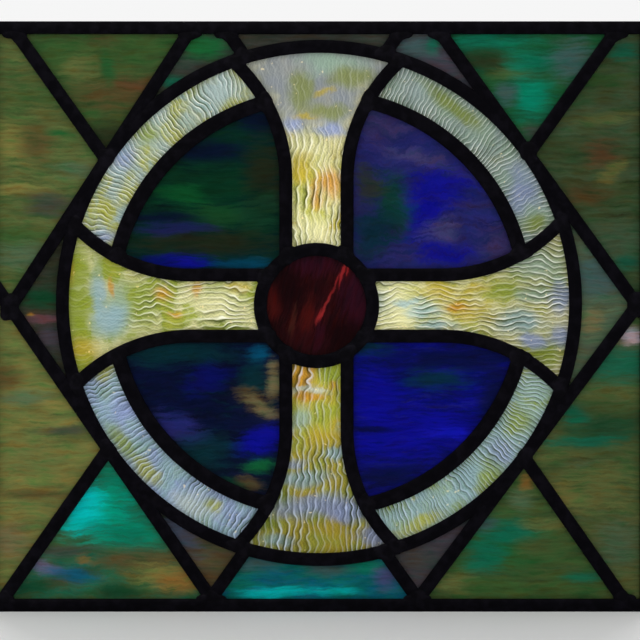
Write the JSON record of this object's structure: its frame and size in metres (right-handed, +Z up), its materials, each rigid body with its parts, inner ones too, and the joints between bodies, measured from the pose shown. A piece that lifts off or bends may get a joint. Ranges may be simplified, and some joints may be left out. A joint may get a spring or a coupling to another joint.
{
  "type": "stained glass window panel",
  "caption": "Rectangular leaded stained glass panel: a ringed cross with a ruby centre in a roundel, set in a lattice of diamond quarries.",
  "frame": {"origin": "middle of the flat underside of the border lead, in the panel's middle plane", "axes": "+Z up, +X to the right as seen from the front, and the front faces -Y"},
  "size_m": [0.499, 0.0084, 0.4414],
  "materials": {
    "lead": "dull blackened lead with tinned solder joints",
    "ruby_glass": "streaky ruby glass",
    "opal_glass": "rippled opalescent glass, yellow-green and lavender",
    "blue_glass": "streaky deep blue glass",
    "green_glass": "streaky olive, green and teal glass"
  },
  "bodies": {
    "root": {"glass_ruby": "ruby_glass", "glass_arm_head": "opal_glass", "glass_arm_foot": "opal_glass", "glass_arm_left": "opal_glass", "glass_arm_right": "opal_glass", "glass_arc_upper_left": "opal_glass", "glass_arc_upper_right": "opal_glass", "glass_arc_lower_left": "opal_glass", "glass_arc_lower_right": "opal_glass", "glass_quadrant_upper_left": "blue_glass", "glass_quadrant_upper_right": "blue_glass", "glass_quadrant_lower_left": "blue_glass", "glass_quadrant_lower_right": "blue_glass", "glass_field_upper_left": "green_glass", "glass_field_upper_right": "green_glass", "glass_field_lower_left": "green_glass", "glass_field_lower_right": "green_glass", "glass_triangle_upper_left": "green_glass", "glass_triangle_upper_right": "green_glass", "glass_triangle_lower_left": "green_glass", "glass_triangle_lower_right": "green_glass", "glass_spandrel_upper_left": "green_glass", "glass_spandrel_upper_right": "green_glass", "glass_spandrel_lower_left": "green_glass", "glass_spandrel_lower_right": "green_glass", "glass_strip_head": "green_glass", "glass_strip_foot": "green_glass", "glass_tip_left": "green_glass", "glass_tip_right": "green_glass", "lead_border": "lead", "lead_ring": "lead", "lead_hub": "lead", "lead_arm_head_upper_left": "lead", "lead_arm_head_upper_right": "lead", "lead_arm_foot_lower_left": "lead", "lead_arm_foot_lower_right": "lead", "lead_arm_left_upper_left": "lead", "lead_arm_left_lower_left": "lead", "lead_arm_right_upper_right": "lead", "lead_arm_right_lower_right": "lead", "lead_arc_upper_left": "lead", "lead_arc_upper_right": "lead", "lead_arc_lower_left": "lead", "lead_arc_lower_right": "lead", "lead_side_upper_left": "lead", "lead_side_upper_right": "lead", "lead_side_lower_left": "lead", "lead_side_lower_right": "lead", "lead_lattice_upper_left": "lead", "lead_lattice_upper_right": "lead", "lead_lattice_lower_left": "lead", "lead_lattice_lower_right": "lead", "lead_diagonal_upper_left": "lead", "lead_diagonal_upper_right": "lead", "lead_diagonal_lower_left": "lead", "lead_diagonal_lower_right": "lead", "lead_stub_upper_left": "lead", "lead_stub_upper_right": "lead", "lead_stub_lower_left": "lead", "lead_stub_lower_right": "lead"}
  },
  "joints": []
}
